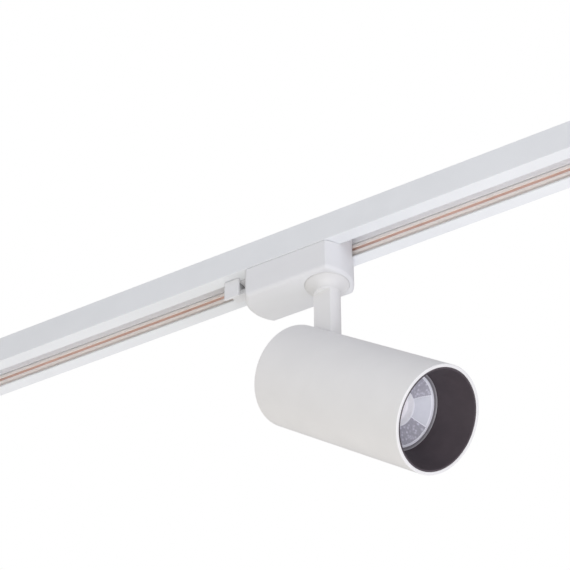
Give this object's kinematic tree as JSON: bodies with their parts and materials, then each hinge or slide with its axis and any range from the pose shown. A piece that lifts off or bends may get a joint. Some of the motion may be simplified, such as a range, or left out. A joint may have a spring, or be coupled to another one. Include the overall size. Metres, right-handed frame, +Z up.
{
  "type": "track spotlight",
  "caption": "Cylindrical spotlight that tilts and swivels under a rounded adapter, on a length of ceiling track with copper conductors.",
  "frame": {"origin": "centre of the track's top face, which lies against the ceiling", "axes": "+X along the track towards its capped end, +Z up into the ceiling, -Y the side that the head is panned towards"},
  "size_m": [0.5546, 0.0782, 0.199],
  "materials": {
    "white_metal": "fine-textured white powder coat on die-cast and extruded aluminium",
    "white_plastic": "moulded white plastic, satin",
    "track_paint": "smooth white powder coat on an aluminium extrusion",
    "insulation": "extruded white plastic",
    "copper": "bare copper strip, drawn",
    "brass": "stamped brass",
    "steel": "bright zinc-plated steel",
    "circuit_board": "glass-fibre board with a green solder mask",
    "component_dark": "moulded component casing",
    "winding": "tape-wrapped winding and ferrite",
    "terminal_plastic": "moulded terminal block",
    "lead_white": "PVC-insulated leads",
    "heatsink_metal": "cast and machined aluminium",
    "board_metal": "white-masked aluminium-core board",
    "phosphor": "silicone phosphor",
    "optic": "clear moulded optic, textured and polished sectors",
    "bezel": "satin grey bezel",
    "baffle_black": "matt dark anti-glare coating",
    "friction": "natural nylon"
  },
  "bodies": {
    "track": {"track_rail": "track_paint", "insulator_front": "insulation", "insulator_rear": "insulation", "conductor_front": "copper", "conductor_rear": "copper", "end_cap": "white_plastic", "end_cap_screws": "steel", "feed_housing": "white_plastic", "feed_cover": "white_plastic", "feed_cover_screws": "steel", "feed_terminal_block": "terminal_plastic", "feed_contacts": "brass"},
    "adapter": {"adapter_housing": "white_plastic", "adapter_lid": "white_plastic", "lid_screws": "steel", "line_contact": "brass", "neutral_contact": "brass", "driver_board": "circuit_board", "driver_transformer": "winding", "driver_capacitor": "component_dark", "output_terminal": "terminal_plastic", "adapter_leads": "lead_white", "latch_spring": "steel"},
    "latch": {"release_latch": "white_plastic"},
    "swivel": {"swivel_disc": "white_metal", "swivel_stop_pin": "steel", "swivel_nipple": "steel", "swivel_washer": "steel", "swivel_nut": "steel", "stem": "white_metal", "stem_leads": "lead_white"},
    "head": {"head_tube": "white_metal", "rear_cap": "white_metal", "rear_cap_screws": "steel", "tie_rods": "steel", "pivot_bracket": "steel", "bracket_screws": "steel", "pivot_bolt": "steel", "pivot_nut": "steel", "friction_washers": "friction", "heatsink": "heatsink_metal", "cob_board": "board_metal", "led_phosphor": "phosphor", "cob_holder": "white_plastic", "cob_screws": "steel", "lens": "optic", "lens_ring": "bezel", "baffle": "baffle_black", "head_leads": "lead_white"}
  },
  "joints": [
    {"name": "adapter_slide", "type": "slide", "parent": "track", "child": "adapter", "axis": [1, 0, 0], "range_m": [-0.2, 0.17]},
    {"name": "latch_pull", "type": "slide", "parent": "adapter", "child": "latch", "axis": [0, 0, -1], "range_m": [0, 0.004], "stiffness_N_per_m": 400, "springref_m": -0.004, "deforming": ["latch_spring"]},
    {"name": "swivel_pan", "type": "hinge", "parent": "adapter", "child": "swivel", "pos_m": [0.05, 0, -0.0405], "axis": [0, 0, 1], "range_deg": [-160, 175]},
    {"name": "head_tilt", "type": "hinge", "parent": "swivel", "child": "head", "pos_m": [0.05, 0, -0.1175], "axis": [0.1305, 0.9914, 0], "range_deg": [-35, 55]}
  ]
}
